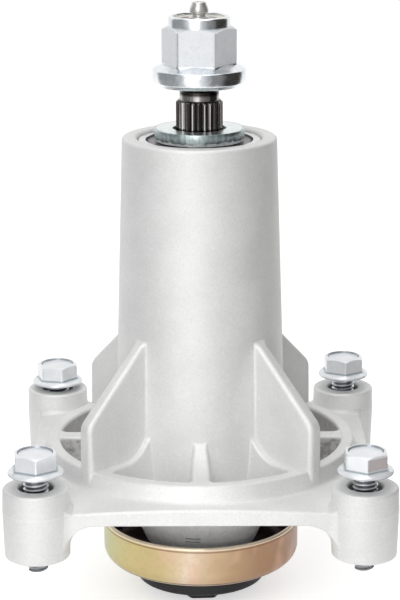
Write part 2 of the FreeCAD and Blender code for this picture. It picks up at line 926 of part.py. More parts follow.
def grease_spring():
    """Small coil spring that closes the check ball."""
    path = Part.makeHelix(spring_len / spring_turns, spring_len, spring_coil_r)
    start = FreeCAD.Vector(spring_coil_r, 0, 0)
    wire = Part.Wire(Part.makeCircle(spring_wire_r, start, FreeCAD.Vector(0, 1, 0)))
    coil = Part.Wire(path.Edges).makePipeShell([wire], True, True)
    return moved(coil, 0, 0, spring_z())


nodes = {
    "housing": housing(),
    "mounting_bolts": mounting_bolts(),
    "upper_bearing_outer_ring": outer_ring(upper_bearing_z, True),
    "upper_bearing_inner_ring": inner_ring(upper_bearing_z),
    "upper_bearing_balls": balls(upper_bearing_z),
    "upper_bearing_cage": cage(upper_bearing_z),
    "upper_bearing_seal": seal(upper_bearing_z, True),
    "lower_bearing_outer_ring": outer_ring(lower_bearing_z, False),
    "lower_bearing_inner_ring": inner_ring(lower_bearing_z),
    "lower_bearing_balls": balls(lower_bearing_z),
    "lower_bearing_cage": cage(lower_bearing_z),
    "lower_bearing_seal": seal(lower_bearing_z, False),
    "bearing_spacer": bearing_spacer(),
    "spindle_shaft": spindle_shaft(),
    "dust_cup": dust_cup(),
    "top_washer": top_washer(),
    "pulley_nut": pulley_nut(),
    "nut_insert": nut_insert(),
    "grease_fitting": grease_fitting(),
    "grease_check_ball": grease_check_ball(),
    "grease_spring": grease_spring(),
}

os.makedirs("parts", exist_ok=True)
for name, shape in nodes.items():
    shape.exportStep("parts/" + name + ".step")
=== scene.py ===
import json
import math

import bmesh
import bpy
from mathutils import Matrix, Vector, noise

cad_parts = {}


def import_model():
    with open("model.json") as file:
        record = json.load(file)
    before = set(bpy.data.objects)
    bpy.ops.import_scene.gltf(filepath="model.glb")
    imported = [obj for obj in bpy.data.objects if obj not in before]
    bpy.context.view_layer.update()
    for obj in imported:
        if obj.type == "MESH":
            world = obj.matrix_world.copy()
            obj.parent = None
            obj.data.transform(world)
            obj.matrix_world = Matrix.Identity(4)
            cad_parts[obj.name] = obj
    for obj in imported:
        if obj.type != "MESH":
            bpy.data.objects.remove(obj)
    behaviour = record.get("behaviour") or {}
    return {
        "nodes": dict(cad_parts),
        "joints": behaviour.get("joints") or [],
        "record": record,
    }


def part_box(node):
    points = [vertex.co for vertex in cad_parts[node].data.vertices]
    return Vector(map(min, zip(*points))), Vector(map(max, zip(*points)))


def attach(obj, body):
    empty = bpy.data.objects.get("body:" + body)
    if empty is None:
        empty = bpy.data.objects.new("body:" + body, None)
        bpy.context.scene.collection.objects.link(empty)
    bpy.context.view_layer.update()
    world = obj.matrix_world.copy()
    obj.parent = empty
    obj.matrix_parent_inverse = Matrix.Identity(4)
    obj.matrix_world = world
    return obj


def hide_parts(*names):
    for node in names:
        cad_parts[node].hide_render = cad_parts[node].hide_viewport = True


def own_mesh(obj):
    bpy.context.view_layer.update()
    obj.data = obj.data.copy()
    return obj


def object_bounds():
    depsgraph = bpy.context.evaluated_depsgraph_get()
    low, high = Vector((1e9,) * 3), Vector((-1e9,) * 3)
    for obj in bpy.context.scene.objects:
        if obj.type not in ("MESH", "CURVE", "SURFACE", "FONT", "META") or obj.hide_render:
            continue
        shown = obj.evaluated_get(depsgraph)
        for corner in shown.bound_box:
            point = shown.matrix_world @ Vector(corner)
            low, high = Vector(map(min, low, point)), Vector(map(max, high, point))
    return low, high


# Looks of a mower deck spindle: cast housing, zinc-plated bolts, nut and washer, black splined shaft and
# yellow dust cup. Pieces are modelled in millimetres in the part's own frame and finished in metres.
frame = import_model()
cad_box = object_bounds()
MM = 0.001

# Camera, as it stood for the photograph
PICTURE_HEIGHT = 600
FOCAL_PIXELS = 2038.6
SENSOR_HEIGHT = 36.0
CAMERA_DISTANCE = 665.7
CAMERA_RISE_DEG = 15.239
CAMERA_ROLL_DEG = -0.2
AIM_HEIGHT = 68.2

# Mesh fineness
ROUND_STEPS = 96
THREAD_STEPS = 36
CORNER_SEGMENTS = 4
SHARP_DEG = 38.0
WELD = 0.0005
CUT_TOLERANCE = 1e-5
ON_CUT = 1e-3
BEVEL_SAMPLES = 6

# Thread form, as shares of its depth and of its pitch
THREAD_OUTLINE = ((0, 0), (0, 0.12), (1, 0.46), (1, 0.58), (0, 0.92), (0, 1))

# Mounting bolts
BOLT_TURNS_DEG = {(-1, -1): -54.0, (1, -1): -60.0, (-1, 1): -42.0, (1, 1): -57.0}
BOLT_FLATS = 12.7
BOLT_HEAD_HEIGHT = 6.9
BOLT_HEX_CORNER = 0.35
BOLT_FLANGE_R = 8.7
BOLT_FLANGE_EDGE = 0.85
BOLT_FLANGE_RISE = 1.55
BOLT_FLANGE_LIP = 0.5
BOLT_EDGE = 0.15
BOLT_EDGE_DROP = 0.2
BOLT_HEX_FOOT = 0.5
BOLT_FOOT_FLARE = 1.02
BOLT_FOOT_SPREAD = 1.06
BOLT_DISH_R = 5.6
BOLT_DISH_WALL = 0.4
BOLT_DISH_DEPTH = 0.6
BOLT_LENGTH = 31.75
BOLT_THREAD_R = 3.95
BOLT_ROOT_R = 3.25
BOLT_PITCH = 1.411
BOLT_TIP_R = 2.9
BOLT_TIP_LENGTH = 5.0

# Pulley nut
NUT_TURN_DEG = -94.4
NUT_FLATS = 21.0
NUT_HEX_CORNER = 0.7
NUT_CORNER_R = (11.86, 11.96)
NUT_FLANGE_R = 14.85
NUT_UNDER_HEIGHT = 1.2
NUT_UNDER_WIDTH = 1.4
NUT_RIM_HEIGHT = 5.1
NUT_RIM_ROUND = 0.7
NUT_HEX_FOOT = 7.0
NUT_HEX_TOP = 18.6
NUT_COLLAR_R = 9.8
NUT_COLLAR_ROUND = 1.0
NUT_LIP = 0.4
NUT_FIT = 0.02
NUT_BORE_R = 7.03
NUT_MOUTH = 0.9

# Hexagons
HEX_CHAMFER_DEG = 30.0
HEX_TOP_SHARE = 0.96
HEX_SIDE_CUTS = 11

# Washer on the upper bearing
WASHER_STEPS = 288
WASHER_FIT = 0.02
WASHER_ROLL = 0.25
WASHER_BREAK = 1.3
WASHER_TORN_SHARE = 0.4
WASHER_TORN_SCALE = 0.9
WASHER_BREAK_TAPER = 0.16
WASHER_BREAK_ROUGH = 0.14

# Bearing seals: piece, node and the way each one faces
SEALS = (("upper_seal", "upper_bearing_seal", 1), ("lower_seal", "lower_bearing_seal", -1))
SEAL_BEAD = 0.9
SEAL_DISH = 0.3
SEAL_SLOPE = 0.3
SEAL_LIP = 0.8
SEAL_LIP_DROP = 0.1
SEAL_LIP_FALL = 0.15
SEAL_ROUND = 0.2
SEAL_SOFT_ROUND = 0.15
SEAL_LIP_ROUND = 0.1

# Grease nipple: each row of the outline is a radius, a height over the base and a rounding
NIPPLE_HEIGHT = 5.3
NIPPLE_STEM_R = 2.7
NIPPLE_MOUTH_R = 0.75
NIPPLE_MOUTH_DEPTH = 0.5
NIPPLE_MOUTH_ROUND = 0.1
NIPPLE_STEPS = 48
NIPPLE_OUTLINE = (
    (3.3, 0.0, 0.15),
    (3.3, 0.6, 0.25),
    (2.1, 0.8, 0.4),
    (2.1, 1.3, 0.3),
    (3.05, 2.0, 0.5),
    (2.95, 3.2, 0.5),
    (2.05, NIPPLE_HEIGHT, 0.3),
)

# Spring in the grease nipple
SPRING_WIRE_R = 0.14
SPRING_TURNS = 4
SPRING_SIDES = 10

# Zones of the finishes, in metres. Heights and radii are the part's own, with three exceptions. Radii of
# bosses, countersinks and bolts count from the nearest bolt's axis. Heights on a bolt count from the
# underside of its head. Those of the washer, of the cup's rim, line and wall, and of the seal's groove count
# from the node's box.
NOSE_TOP = (0.004, 0.008)
NOSE_R = (0.031, 0.034)
SCRATCH_X = (-0.0050, -0.0002)
SCRATCH_Y = (-0.02, -0.015)
SCRATCH_HEIGHTS = ((-0.0071, -0.0067), (-0.0084, -0.0080))
BOSS_LINE_Z = (0.0148, 0.0152)
BOSS_WALL_R = (0.0098, 0.0118)
SINK_R = (0.0050, 0.0058)
SINK_FOOT = (0.010, 0.012)
RING_WALL_R = (0.0460, 0.0468)
RING_WALL_Z = (0.0150, 0.0214)
POCKET_R = (0.0375, 0.0462)
POCKET_Z = (0.0120, 0.0212)
POCKET_BACK_Y = (-0.026, -0.018)
BOLT_RIM_Z = (-0.0001, 0.0003)
BOLT_RIM_R = (0.0060, 0.0065)
BOLT_SHANK_TOP = (-0.0005, 0.0)
BOLT_FLAT_R = (0.0061, 0.0062)
BOLT_FLAT_Z = (0.0023, 0.0061)
BOLT_ROSE_Y = (-0.0020, -0.0015)
WASHER_EDGE_R = (-0.0009, -0.0006)
WASHER_RAGGED = 0.0026
WASHER_TORN_Z = (0.0006, 0.0010)
SEAT_TOP = (-0.0185, -0.0165)
SPLINE_FOOT = (0.1236, 0.1240)
SPLINE_TOP = (0.1343, 0.1347)
SPLINE_GROOVE_R = (0.00685, 0.00725)
UNDERCUT_TOP = (0.1356, 0.1366)
SHAFT_END = (0.1592, 0.1596)
CUP_RIM_Z = (-0.0009, -0.0007)
CUP_LINE_Z = (-0.0016, -0.0010)
CUP_WALL_R = (-0.0013, -0.0009)
CUP_FLOOR = (-0.0192, -0.0188)
SEAL_GROOVE_R = (-0.0010, -0.0007)
SEAL_SHADE_Y = (-0.0135, -0.0095)

# Softness of the zones' edges, in metres
HAIR = 0.0001
CRISP = 0.0002
SOFT = 0.0003
RING_WALL_SOFT = 0.0005
POCKET_TOP_SOFT = 0.0006
POCKET_SIDE_SOFT = 0.0010

# Studio: a card has two bearings off the camera's side and a colour, and a lamp has a place, an aim, a size
# and a power
WORLD_LIGHT = 0.45
FLOOR_SIZE = 9.0
FLOOR_GREY = 0.92
FLOOR_ROUGHNESS = 0.9
FLOOR_LIFT = 0.56
EYE_RAYS = ("Is Camera Ray", "Is Glossy Ray", "Is Transmission Ray")
CARD_DISTANCE = 0.2
CARD_HEIGHT = 0.5
CARDS = {
    "front_card": (0, 12, (0.72, 0.73, 0.75)),
    "front_right_card": (12, 28, (0.50, 0.50, 0.50)),
    "right_front_card": (28, 62, (0.24, 0.24, 0.24)),
    "right_card": (62, 125, (0.04, 0.037, 0.034)),
    "left_front_card": (-37, -54, (0.52, 0.53, 0.54)),
    "left_card": (-54, -118, (0.32, 0.33, 0.34)),
}
LAMPS = {
    "key": ((-0.30, -0.95, 0.80), (0, 0, 0.06), (0.7, 0.7), 4.2),
    "front_fill": ((-0.20, -1.2, 0.14), (0, 0, 0.02), (0.8, 0.3), 1.2),
    "overhead": ((0.0, -0.10, 1.1), (0, 0, 0.05), (0.9, 0.9), 2.6),
}
SPOT_PLACE = (-0.03, -0.97, 0.245)
SPOT_AIM = (0, -0.024, -0.004)
SPOT_RADIUS = 0.026
SPOT_POWER = 8.0
SPOT_BLEND = 0.9
SPOT_SOFTNESS = 0.03


def box_mm(node):
    """Lowest and highest corner of a node, in millimetres."""
    low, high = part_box(node)
    return low / MM, high / MM


def ring_edges(geometry):
    """Open edges among some geometry."""
    return [part for part in geometry if isinstance(part, bmesh.types.BMEdge) and part.is_boundary]


def clean(bm):
    """Welds the seams and turns the faces outwards."""
    bmesh.ops.remove_doubles(bm, verts=bm.verts, dist=WELD)
    bmesh.ops.recalc_face_normals(bm, faces=bm.faces)


def turned(corners, steps=ROUND_STEPS):
    """Spins a (radius, height) outline round Z. A third number sets a rounded corner back along its sides."""
    bm = bmesh.new()
    verts = [bm.verts.new((corner[0], 0, corner[1])) for corner in corners]
    closed = corners[0][0] > 0
    for here, after in zip(verts, verts[1:] + verts[:1] if closed else verts[1:]):
        bm.edges.new((here, after))
    for vert, corner in zip(verts, corners):
        if len(corner) > 2:
            bmesh.ops.bevel(bm, geom=[vert], offset=corner[2], offset_type="OFFSET", affect="VERTICES",
                            segments=CORNER_SEGMENTS, profile=0.5, material=-1)
    bmesh.ops.spin(bm, geom=bm.verts[:] + bm.edges[:], axis=(0, 0, 1), cent=(0, 0, 0), angle=2 * math.pi,
                   steps=steps, use_merge=True)
    clean(bm)
    return bm


def hexagon(bm, flats, corner_set_back, turn_deg, z):
    """Loop of a hexagon with rounded corners, one flat facing the turn's direction."""
    turn = Matrix.Rotation(math.radians(turn_deg), 4, "Z")
    lift = Matrix.Translation((0, 0, z))
    bmesh.ops.create_circle(bm, radius=flats / math.sqrt(3), segments=6, matrix=lift @ turn)
    bmesh.ops.bevel(bm, geom=bm.verts[:], offset=corner_set_back, offset_type="OFFSET", affect="VERTICES",
                    segments=CORNER_SEGMENTS, profile=0.5, material=-1)
    flat_sides = [edge for edge in bm.edges if edge.calc_length() > flats / 4]
    bmesh.ops.subdivide_edges(bm, edges=flat_sides, cuts=HEX_SIDE_CUTS)
    return bm.edges[:]


def grow(bm, loop, rings):
    """Extrudes a loop through rings. A ring is (radius, height) of a circle, or (None, height, scale) that
    keeps the loop's outline. A height may be a function of the radius."""
    for radius, height, *scale in rings:
        loop = ring_edges(bmesh.ops.extrude_edge_only(bm, edges=loop)["geom"])
        for vert in {vert for edge in loop for vert in edge.verts}:
            flat = vert.co.xy * scale[0] if radius is None else vert.co.xy.normalized() * radius
            z = height(flat.length) if callable(height) else height
            vert.co = (flat.x, flat.y, z)
    return loop


def chamfered_top(flats, top_z):
    """Height of a hexagon's turned-off top at a radius."""
    top_r = flats / 2 * HEX_TOP_SHARE
    return lambda r: top_z - max(0.0, r - top_r) * math.tan(math.radians(HEX_CHAMFER_DEG))


def threaded(crest_r, root_r, pitch, bottom_z, top_z, tip_r, tip_length):
    """Rod with a helical thread whose lower end tapers, cut square at both ends."""
    bm = bmesh.new()
    start_z = bottom_z - pitch
    turns = math.ceil((top_z - start_z) / pitch) + 1
    depth = crest_r - root_r
    verts = [bm.verts.new((root_r + out * depth, 0, start_z + up * pitch)) for out, up in THREAD_OUTLINE]
    edges = [bm.edges.new(pair) for pair in zip(verts, verts[1:])]
    bmesh.ops.spin(bm, geom=verts + edges, axis=(0, 0, 1), cent=(0, 0, 0), angle=2 * math.pi * turns,
                   dvec=(0, 0, pitch / THREAD_STEPS), steps=THREAD_STEPS * turns)
    bmesh.ops.remove_doubles(bm, verts=bm.verts, dist=WELD)
    for vert in bm.verts:
        share = min(max((bottom_z + tip_length - vert.co.z) / tip_length, 0.0), 1.0)
        vert.co.xy *= 1 + (tip_r / crest_r - 1) * share ** 2
    for cut_z, outwards in ((bottom_z, -1), (top_z, 1)):
        everything = bm.verts[:] + bm.edges[:] + bm.faces[:]
        bmesh.ops.bisect_plane(bm, geom=everything, dist=CUT_TOLERANCE, plane_co=(0, 0, cut_z),
                               plane_no=(0, 0, outwards), clear_outer=True)
        bmesh.ops.holes_fill(bm, edges=[edge for edge in bm.edges if edge.is_boundary and
                                        all(abs(vert.co.z - cut_z) < ON_CUT for vert in edge.verts)])
    clean(bm)
    return bm


def merged(meshes):
    """One bmesh out of several shells."""
    whole = bmesh.new()
    for bm in meshes:
        mesh = bpy.data.meshes.new("shell")
        bm.to_mesh(mesh)
        bm.free()
        whole.from_mesh(mesh)
        bpy.data.meshes.remove(mesh)
    return whole


def moved(bm, x, y, z):
    """The bmesh, moved along."""
    bmesh.ops.translate(bm, verts=bm.verts, vec=(x, y, z))
    return bm


def piece(name, bm, body, node, material):
    """Finishes a bmesh as a piece that rides on a body and stands for a node."""
    bmesh.ops.scale(bm, vec=(MM, MM, MM), verts=bm.verts)
    mesh = bpy.data.meshes.new(name)
    bm.to_mesh(mesh)
    bm.free()
    mesh.shade_smooth()
    mesh.set_sharp_from_angle(angle=math.radians(SHARP_DEG))
    mesh.materials.append(material)
    made = bpy.data.objects.new(name, mesh)
    bpy.context.scene.collection.objects.link(made)
    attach(made, body)
    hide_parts(node)
    return made


def bolt_head(turn_deg):
    """Indented hex washer head; its own z = 0 is the underside."""
    bm = bmesh.new()
    loop = hexagon(bm, BOLT_FLATS, BOLT_HEX_CORNER, turn_deg, BOLT_FLANGE_RISE + BOLT_HEX_FOOT)
    top_r = BOLT_FLATS / 2 * HEX_TOP_SHARE
    upper = grow(bm, loop, [
        (None, chamfered_top(BOLT_FLATS, BOLT_HEAD_HEIGHT), 1.0),
        (top_r, BOLT_HEAD_HEIGHT),
        (BOLT_DISH_R, BOLT_HEAD_HEIGHT),
        (BOLT_DISH_R - BOLT_DISH_WALL, BOLT_HEAD_HEIGHT - BOLT_DISH_DEPTH),
        (BOLT_DISH_R / 2, BOLT_HEAD_HEIGHT - BOLT_DISH_DEPTH),
    ])
    bmesh.ops.edgeloop_fill(bm, edges=upper)
    lower = grow(bm, loop, [
        (None, BOLT_FLANGE_RISE + BOLT_EDGE, BOLT_FOOT_FLARE),
        (None, BOLT_FLANGE_RISE, BOLT_FOOT_SPREAD),
        (BOLT_FLANGE_R - BOLT_FLANGE_LIP, BOLT_FLANGE_EDGE + BOLT_EDGE),
        (BOLT_FLANGE_R - BOLT_EDGE, BOLT_FLANGE_EDGE),
        (BOLT_FLANGE_R, BOLT_FLANGE_EDGE - BOLT_EDGE_DROP),
        (BOLT_FLANGE_R, BOLT_EDGE),
        (BOLT_FLANGE_R - BOLT_EDGE, 0.0),
        (BOLT_ROOT_R / 2, 0.0),
    ])
    bmesh.ops.edgeloop_fill(bm, edges=lower)
    clean(bm)
    return bm


def bolt_undersides():
    """Height of the underside of each bolt's head, from the depth that its CAD solid has."""
    points = [vert.co / MM for vert in frame["nodes"]["mounting_bolts"].data.vertices]
    tops = {side: max(point.z for point in points if point.x * side[0] > 0 and point.y * side[1] > 0)
            for side in BOLT_TURNS_DEG}
    return {side: top - BOLT_HEAD_HEIGHT for side, top in tops.items()}


def mounting_bolts():
    """The four bolts, each turned as in the photograph."""
    shells = []
    for (side_x, side_y), turn_deg in BOLT_TURNS_DEG.items():
        under_z = undersides[side_x, side_y]
        shank = threaded(BOLT_THREAD_R, BOLT_ROOT_R, BOLT_PITCH, -BOLT_LENGTH, BOLT_FLANGE_EDGE / 2,
                         BOLT_TIP_R, BOLT_TIP_LENGTH)
        for shell in (bolt_head(turn_deg), shank):
            shells.append(moved(shell, side_x * bolt_offset, side_y * bolt_offset, under_z))
    return merged(shells)


def quarter(outer_r, top_z, size, inwards=1):
    """Rings of a quarter round from a vertical wall over to a level top."""
    turns = [math.radians(90 * i / CORNER_SEGMENTS) for i in range(CORNER_SEGMENTS + 1)]
    centre_r, centre_z = outer_r - inwards * size, top_z - size
    return [(centre_r + inwards * size * math.cos(a), centre_z + size * math.sin(a)) for a in turns]


def pulley_nut():
    """Flange nut in one skin, from the hexagon over the rolled collar and round the flange to the bore."""
    low, high = box_mm("pulley_nut")
    seat_low, seat_high = box_mm("nut_insert")
    foot, top = low.z + NUT_HEX_FOOT, low.z + NUT_HEX_TOP
    rim_z = low.z + NUT_RIM_HEIGHT
    seat_r = seat_high.x + NUT_FIT
    lip_r = seat_high.x - NUT_LIP
    lip_z = (seat_high.z + high.z) / 2
    fall = (foot - rim_z) / (NUT_FLANGE_R - NUT_FLATS / 2)
    bm = bmesh.new()
    loop = hexagon(bm, NUT_FLATS, NUT_HEX_CORNER, NUT_TURN_DEG, (foot + top) / 2)
    upper = grow(bm, loop, [
        (None, chamfered_top(NUT_FLATS, top), 1.0),
        (NUT_FLATS / 2 * HEX_TOP_SHARE, top),
        (NUT_COLLAR_R, top),
        *quarter(NUT_COLLAR_R, high.z, NUT_COLLAR_ROUND),
        *reversed(quarter(lip_r, high.z, high.z - lip_z, -1)),
        (lip_r, seat_high.z),
        (seat_r, seat_high.z),
        (seat_r, seat_low.z),
        (NUT_BORE_R, seat_low.z),
    ])

    def cone(r):
        return rim_z + (NUT_FLANGE_R - r) * fall

    lower = grow(bm, loop, [
        (None, cone, 1.0),
        (NUT_FLATS / math.sqrt(3), cone),
        (NUT_FLANGE_R - NUT_RIM_ROUND, cone),
        *reversed(quarter(NUT_FLANGE_R, cone(NUT_FLANGE_R - NUT_RIM_ROUND), NUT_RIM_ROUND)),
        (NUT_FLANGE_R, low.z + NUT_UNDER_HEIGHT + NUT_RIM_ROUND / 2),
        (NUT_FLANGE_R - NUT_RIM_ROUND / 2, low.z + NUT_UNDER_HEIGHT - NUT_RIM_ROUND / 4),
        (NUT_FLANGE_R - NUT_UNDER_WIDTH, low.z),
        (NUT_BORE_R + NUT_MOUTH, low.z),
        (NUT_BORE_R, low.z + NUT_MOUTH),
    ])
    bmesh.ops.bridge_loops(bm, edges=upper + lower)
    clean(bm)
    return bm


def top_washer():
    """Blanked washer: rolled over at the top edge, sheared straight below it and torn rough at the bottom."""
    low, high = box_mm("top_washer")
    bore_r = journal_r + WASHER_FIT
    bm = turned([
        (bore_r, low.z),
        (high.x - WASHER_BREAK_TAPER, low.z),
        (high.x - WASHER_BREAK_TAPER, low.z + WASHER_TORN_SHARE * WASHER_BREAK),
        (high.x, low.z + WASHER_BREAK),
        (high.x, high.z, WASHER_ROLL),
        (bore_r, high.z, WASHER_ROLL),
    ], steps=WASHER_STEPS)
    for vert in bm.verts:
        radius = vert.co.xy.length
        if radius > high.x - 2 * WASHER_BREAK_TAPER and vert.co.z < low.z + WASHER_BREAK / 2:
            torn = WASHER_BREAK_ROUGH * noise.noise(vert.co * WASHER_TORN_SCALE)
            vert.co.xy *= 1 + torn / radius
    return bm


def bearing_seal(node, outwards):
    """Moulded seal: thick bead at the rim, a shallow dish and a thin lip at the inner ring."""
    low, high = box_mm(node)
    back, face = (low.z, high.z) if outwards > 0 else (high.z, low.z)
    return turned([
        (seal_inner_r, back),
        (high.x, back),
        (high.x, face, SEAL_ROUND),
        (high.x - SEAL_BEAD, face, SEAL_ROUND),
        (high.x - SEAL_BEAD - SEAL_SLOPE, face - outwards * SEAL_DISH, SEAL_SOFT_ROUND),
        (seal_inner_r + SEAL_LIP + SEAL_SLOPE, face - outwards * SEAL_DISH, SEAL_SOFT_ROUND),
        (seal_inner_r + SEAL_LIP, face - outwards * SEAL_LIP_DROP, SEAL_SOFT_ROUND),
        (seal_inner_r, face - outwards * SEAL_LIP_FALL, SEAL_LIP_ROUND),
    ])


def grease_fitting():
    """Nipple with a rounded barrel head over a narrow neck."""
    low, high = box_mm("grease_fitting")
    base_z = high.z - NIPPLE_HEIGHT
    return turned([
        (0.0, low.z),
        (NIPPLE_STEM_R, low.z),
        (NIPPLE_STEM_R, base_z),
        *[(r, base_z + height, rounding) for r, height, rounding in NIPPLE_OUTLINE],
        (NIPPLE_MOUTH_R, high.z, NIPPLE_MOUTH_ROUND),
        (NIPPLE_MOUTH_R, high.z - NIPPLE_MOUTH_DEPTH),
        (0.0, high.z - NIPPLE_MOUTH_DEPTH),
    ], steps=NIPPLE_STEPS)


def check_spring():
    """Coil spring under the check ball."""
    low, high = box_mm("grease_spring")
    coil_r = high.x - SPRING_WIRE_R
    rise = high.z - low.z - 2 * SPRING_WIRE_R
    steps = THREAD_STEPS * SPRING_TURNS
    bm = bmesh.new()
    stand = Matrix.Translation((coil_r, 0, low.z + SPRING_WIRE_R)) @ Matrix.Rotation(math.pi / 2, 4, "X")
    bmesh.ops.create_circle(bm, radius=SPRING_WIRE_R, segments=SPRING_SIDES, matrix=stand)
    bmesh.ops.spin(bm, geom=bm.verts[:] + bm.edges[:], axis=(0, 0, 1), cent=(0, 0, 0),
                   angle=2 * math.pi * SPRING_TURNS, dvec=(0, 0, rise / steps), steps=steps)
    bmesh.ops.holes_fill(bm, edges=[edge for edge in bm.edges if edge.is_boundary])
    clean(bm)
    return bm


class Wire:
    """One output socket of a finish. Arithmetic on it adds Math nodes, and add() adds any other node."""

    def __init__(self, tree, socket):
        self.tree = tree
        self.socket = socket

    def add(self, kind, settings, sockets, output=0):
        node = self.tree.nodes.new(kind)
        for name, value in settings.items():
            if name == "stops":
                set_stops(node.color_ramp, value)
            else:
                setattr(node, name, value)
        for name, value in sockets.items():
            feed(self.tree, node.inputs[name], value)
        return Wire(self.tree, node.outputs[output])

    def maths(self, operation, *values):
        return self.add("ShaderNodeMath", {"operation": operation}, dict(enumerate(values)))

    def mix(self, dark, light):
        """Colour between two, with this wire as the share of the second."""
        return self.add("ShaderNodeMix", {"data_type": "RGBA"}, {0: self, 6: dark, 7: light}, output=2)

    def between(self, low, high, kind="SMOOTHSTEP"):
        """0 below low and 1 above high."""
        return self.add("ShaderNodeMapRange", {"interpolation_type": kind},
                        {"Value": self, "From Min": low, "From Max": high})

    def noise(self, scale, detail=3.0, roughness=0.55):
        return self.add("ShaderNodeTexNoise", {},
                        {"Vector": self, "Scale": scale, "Detail": detail, "Roughness": roughness})

    def ramp(self, stops):
        return self.add("ShaderNodeValToRGB", {"stops": stops}, {"Fac": self})

    def part(self, axis):
        return self.add("ShaderNodeSeparateXYZ", {}, {"Vector": self}, output=axis)

    def radius(self):
        """Distance from the Z axis."""
        flat = self.stretched(1.0, 1.0, 0.0)
        return self.add("ShaderNodeVectorMath", {"operation": "LENGTH"}, {0: flat}, output=1)

    def band(self, low, high, soft):
        """1 between two values and 0 outside them."""
        return self.between(low - soft, low + soft) * (1 - self.between(high - soft, high + soft))

    def stretched(self, x, y, z):
        return self.add("ShaderNodeMapping", {}, {"Vector": self, "Scale": (x, y, z)})

    def bump(self, strength, distance, edge_round=0.0):
        sockets = {"Strength": strength, "Distance": distance, "Height": self}
        if edge_round > 0:
            sampling = {"samples": BEVEL_SAMPLES}
            sockets["Normal"] = self.add("ShaderNodeBevel", sampling, {"Radius": edge_round})
        return self.add("ShaderNodeBump", {}, sockets)

    def __add__(self, other):
        return self.maths("ADD", self, other)

    def __sub__(self, other):
        return self.maths("SUBTRACT", self, other)

    def __rsub__(self, other):
        return self.maths("SUBTRACT", other, self)

    def __mul__(self, other):
        return self.maths("MULTIPLY", self, other)

    __radd__ = __add__
    __rmul__ = __mul__


def set_stops(ramp, stops):
    while len(ramp.elements) < len(stops):
        ramp.elements.new(0.5)
    for element, (position, colour) in zip(ramp.elements, stops):
        element.position = position
        element.color = (*colour, 1)


def feed(tree, socket, value):
    """Links a wire to a socket, or sets the socket to a value."""
    if isinstance(value, Wire):
        tree.links.new(value.socket, socket)
    elif socket.type == "RGBA" and len(value) == 3:
        socket.default_value = (*value, 1)
    else:
        socket.default_value = value


def finish(name, paint):
    """Material whose shader sockets come from a paint function of the Object coordinates."""
    material = bpy.data.materials.new(name)
    material.use_nodes = True
    tree = material.node_tree
    shader = tree.nodes["Principled BSDF"]
    place = Wire(tree, tree.nodes.new("ShaderNodeTexCoord").outputs["Object"])
    for socket, value in paint(place).items():
        feed(tree, shader.inputs[socket], value)
    return material


def on_bolt(place):
    """Distance from the axis of the nearest bolt, and height over the underside of its head."""
    aside = place.add("ShaderNodeVectorMath", {"operation": "ABSOLUTE"}, {0: place})
    off = place.add("ShaderNodeVectorMath", {"operation": "SUBTRACT"},
                    {0: aside, 1: (bolt_offset * MM, bolt_offset * MM, 0)})
    height = place.part(2)
    for (side_x, side_y), under_z in undersides.items():
        here = (place.part(0) * side_x).between(0.0, MM) * (place.part(1) * side_y).between(0.0, MM)
        height = height - here * (under_z * MM)
    return off.radius(), height


def scratches(place):
    """Two short level scratches on the front of the nose."""
    side = place.part(0).band(*SCRATCH_X, CRISP) * (1 - place.part(1).between(*SCRATCH_Y))
    upper, lower = [place.part(2).band(*heights, HAIR) for heights in SCRATCH_HEIGHTS]
    return side * (upper + lower)


def cast_aluminium(place):
    """Pale die casting: matte grain, faint cloudiness and lighter specks, with painted light on a matte nose,
    a painted highlight on the bosses' mould parting, and painted shade in the countersinks, on the wall
    inside the ring and in the pockets inside the ring."""
    grain = place.noise(2600.0, 2.0)
    coarse = place.noise(1700.0, 2.0)
    cloud = place.noise(70.0, 4.0)
    speck = place.noise(900.0, 1.0).between(0.60, 0.72)
    mottle = place.noise(520.0, 3.0).between(0.42, 0.66)
    height, radius, from_bolt = place.part(2), place.radius(), on_bolt(place)[0]
    # Painted light: the nose under the flange gets a near-white, non-metallic base that stands in for light
    # reaching it.
    nose = (1 - height.between(*NOSE_TOP)) * (1 - radius.between(*NOSE_R))
    # Painted highlight: a pale line along the bosses' parting line.
    painted_line = height.band(*BOSS_LINE_Z, HAIR) * from_bolt.band(*BOSS_WALL_R, CRISP)
    # Painted shade: dark countersinks round the bolts.
    sink_shade = (1 - from_bolt.between(*SINK_R)) * height.between(*SINK_FOOT)
    # Painted shade on the wall inside the ring.
    wall = radius.band(*RING_WALL_R, SOFT) * height.band(*RING_WALL_Z, RING_WALL_SOFT)
    # Painted shade, mottled, in the pockets inside the ring at the sides and back.
    pocket_shade = radius.band(*POCKET_R, POCKET_SIDE_SOFT) * height.band(*POCKET_Z, POCKET_TOP_SOFT)
    pocket_shade = pocket_shade * place.part(1).between(*POCKET_BACK_Y)
    base = cloud.between(0.3, 0.7).mix((0.82, 0.82, 0.81), (0.88, 0.88, 0.87))
    base = (speck * 0.35).mix(base, (0.95, 0.95, 0.94))
    base = (grain.between(0.56, 0.78) * 0.4).mix(base, (0.62, 0.61, 0.60))
    base = (coarse.between(0.46, 0.72) * 0.18).mix(base, (0.58, 0.57, 0.56))
    base = (nose * (1 - mottle * 0.7)).mix(base, (0.98, 0.98, 0.97))
    base = (scratches(place) * 0.8).mix(base, (0.20, 0.20, 0.20))
    base = (painted_line * 0.35).mix(base, (0.97, 0.97, 0.96))
    base = (sink_shade * 0.92).mix(base, (0.08, 0.075, 0.07))
    base = (wall * 0.5).mix(base, (0.36, 0.35, 0.33))
    base = (pocket_shade * (0.35 + 0.5 * mottle)).mix(base, (0.30, 0.29, 0.28))
    return {
        "Base Color": base,
        "Metallic": 0.42 - 0.42 * nose,
        "Roughness": 0.50 + 0.14 * cloud,
        "Normal": (grain * 0.6 + coarse * 0.5 + mottle * nose).bump(0.45, 0.0001, 0.0005),
    }


